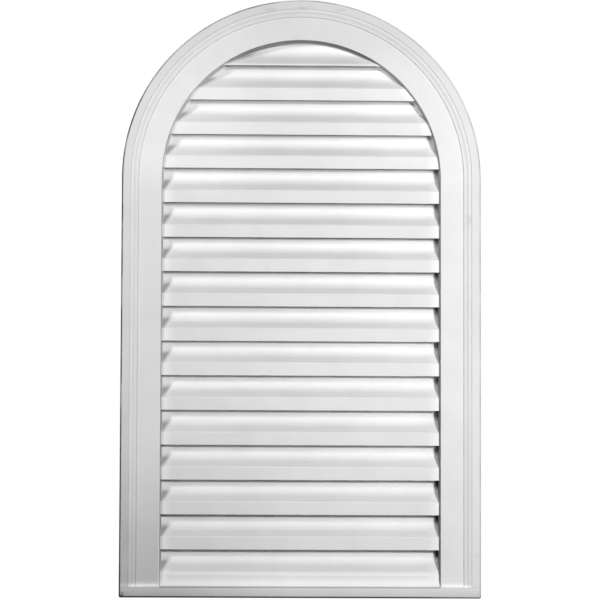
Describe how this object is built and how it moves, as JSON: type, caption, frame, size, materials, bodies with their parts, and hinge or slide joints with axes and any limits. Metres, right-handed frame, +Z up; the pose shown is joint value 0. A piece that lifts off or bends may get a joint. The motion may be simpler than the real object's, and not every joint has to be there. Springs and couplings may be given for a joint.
{
  "type": "gable vent",
  "caption": "Round-top louvred gable vent moulded as one piece, with a stepped moulding frame, a bottom rail and hollow louvres that shed rain and let attic air out.",
  "frame": {"origin": "middle of the bottom edge, on the wall plane that the back of the frame seats on", "axes": "+Z up along the wall, +Y into the wall, +X to the right as seen from outside"},
  "size_m": [0.4572, 0.0444, 0.7619],
  "materials": {
    "primed_urethane": "white primer, satin, factory sprayed on moulded urethane"
  },
  "bodies": {
    "root": {"gable_vent": "primed_urethane"}
  },
  "joints": []
}
